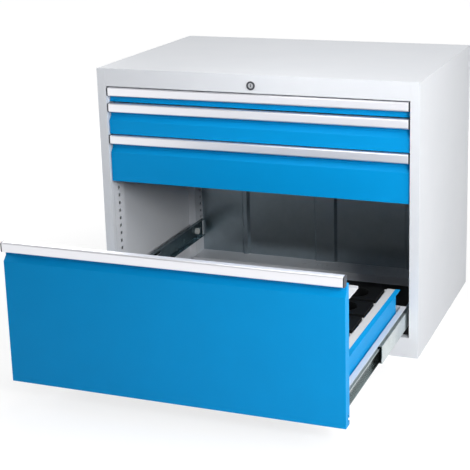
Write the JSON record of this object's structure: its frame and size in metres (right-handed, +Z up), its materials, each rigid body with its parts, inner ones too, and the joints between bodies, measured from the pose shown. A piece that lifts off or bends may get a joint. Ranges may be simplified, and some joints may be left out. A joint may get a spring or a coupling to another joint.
{
  "type": "tool drawer cabinet",
  "caption": "Steel workshop cabinet with telescopic drawers, full-width handle strips and a central lock; the deep bottom drawer holds tool sockets.",
  "frame": {"origin": "middle of the housing's footprint, on the underside of the base pan", "axes": "+X to the right seen from the front, +Y towards the back panel, +Z up; the drawers pull out along -Y"},
  "size_m": [1.005, 1.315, 0.819],
  "materials": {
    "housing_paint": "light grey powder coat, fine grain",
    "front_paint": "bright blue powder coat, fine grain",
    "zinc": "zinc-plated sheet, slightly green",
    "handle_metal": "satin anodised aluminium",
    "cap_plastic": "moulded grey plastic",
    "shoe_plastic": "moulded black plastic",
    "buffer_nylon": "moulded white nylon",
    "insert_plastic": "moulded black plastic",
    "lock_metal": "nickel-plated die casting"
  },
  "bodies": {
    "cabinet": {"base_pan": "housing_paint", "rear_floor_channel": "housing_paint", "side_panel_left": "housing_paint", "side_panel_right": "housing_paint", "top_panel": "housing_paint", "top_rail": "housing_paint", "back_panel": "zinc", "upright_front_left": "housing_paint", "upright_front_right": "housing_paint", "upright_rear_left": "housing_paint", "upright_rear_right": "housing_paint", "lock_housing": "lock_metal", "lock_nut": "lock_metal", "runner_1_cabinet_rails": "zinc", "runner_2_cabinet_rails": "zinc", "runner_3_cabinet_rails": "zinc", "runner_4_cabinet_rails": "zinc", "runner_screws": "zinc", "runner_rear_buffers": "buffer_nylon"},
    "lock_cylinder": {"lock_core": "lock_metal", "lock_cam": "lock_metal"},
    "lock_slide": {"locking_slider": "zinc"},
    "lock_bar": {"locking_bar": "zinc"},
    "drawer_1": {"drawer_1_box": "housing_paint", "drawer_1_front": "front_paint", "drawer_1_handle": "handle_metal", "drawer_1_handle_caps": "cap_plastic", "drawer_1_rails": "zinc"},
    "runner_1_middle": {"runner_1_middle_left": "zinc", "runner_1_middle_right": "zinc", "runner_1_glide_shoes": "shoe_plastic"},
    "drawer_2": {"drawer_2_box": "housing_paint", "drawer_2_front": "front_paint", "drawer_2_handle": "handle_metal", "drawer_2_handle_caps": "cap_plastic", "drawer_2_rails": "zinc"},
    "runner_2_middle": {"runner_2_middle_left": "zinc", "runner_2_middle_right": "zinc", "runner_2_glide_shoes": "shoe_plastic"},
    "drawer_3": {"drawer_3_box": "housing_paint", "drawer_3_front": "front_paint", "drawer_3_handle": "handle_metal", "drawer_3_handle_caps": "cap_plastic", "drawer_3_rails": "zinc"},
    "runner_3_middle": {"runner_3_middle_left": "zinc", "runner_3_middle_right": "zinc", "runner_3_glide_shoes": "shoe_plastic"},
    "drawer_4": {"drawer_4_box": "housing_paint", "drawer_4_front": "front_paint", "drawer_4_handle": "handle_metal", "drawer_4_handle_caps": "cap_plastic", "drawer_4_rails": "zinc", "drawer_4_tool_frame": "front_paint", "drawer_4_frame_trims": "housing_paint", "drawer_4_insert_rails": "housing_paint", "drawer_4_tool_inserts": "insert_plastic", "drawer_4_front_stiffener": "housing_paint"},
    "runner_4_middle": {"runner_4_middle_left": "zinc", "runner_4_middle_right": "zinc", "runner_4_glide_shoes": "shoe_plastic"}
  },
  "joints": [
    {"name": "drawer_1_slide", "type": "slide", "parent": "cabinet", "child": "drawer_1", "axis": [0, -1, 0], "range_m": [0, 0.625]},
    {"name": "runner_1_slide", "type": "slide", "parent": "cabinet", "child": "runner_1_middle", "axis": [0, -1, 0], "range_m": [0, 0.3125]},
    {"name": "drawer_2_slide", "type": "slide", "parent": "cabinet", "child": "drawer_2", "axis": [0, -1, 0], "range_m": [0, 0.625]},
    {"name": "runner_2_slide", "type": "slide", "parent": "cabinet", "child": "runner_2_middle", "axis": [0, -1, 0], "range_m": [0, 0.3125]},
    {"name": "drawer_3_slide", "type": "slide", "parent": "cabinet", "child": "drawer_3", "axis": [0, -1, 0], "range_m": [0, 0.625]},
    {"name": "runner_3_slide", "type": "slide", "parent": "cabinet", "child": "runner_3_middle", "axis": [0, -1, 0], "range_m": [0, 0.3125]},
    {"name": "drawer_4_slide", "type": "slide", "parent": "cabinet", "child": "drawer_4", "axis": [0, -1, 0], "range_m": [-0.625, 0]},
    {"name": "runner_4_slide", "type": "slide", "parent": "cabinet", "child": "runner_4_middle", "axis": [0, -1, 0], "range_m": [-0.3125, 0]},
    {"name": "lock_slide_shift", "type": "slide", "parent": "cabinet", "child": "lock_slide", "axis": [1, 0, 0], "range_m": [0, 0.01131]},
    {"name": "lock_bar_lift", "type": "slide", "parent": "cabinet", "child": "lock_bar", "axis": [0, 0, 1], "range_m": [0, 0.01131]},
    {"name": "lock_turn", "type": "hinge", "parent": "cabinet", "child": "lock_cylinder", "pos_m": [0, -0.345, 0.787], "axis": [0, 1, 0], "range_deg": [0, 90]}
  ],
  "couplings": [
    {"joint": "runner_1_slide", "follows": "drawer_1_slide", "ratio": 0.5},
    {"joint": "runner_2_slide", "follows": "drawer_2_slide", "ratio": 0.5},
    {"joint": "runner_3_slide", "follows": "drawer_3_slide", "ratio": 0.5},
    {"joint": "runner_4_slide", "follows": "drawer_4_slide", "ratio": 0.5},
    {"joint": "lock_turn", "follows": "lock_slide_shift", "rad_per_m": 138.85},
    {"joint": "lock_bar_lift", "follows": "lock_slide_shift", "ratio": 1}
  ]
}
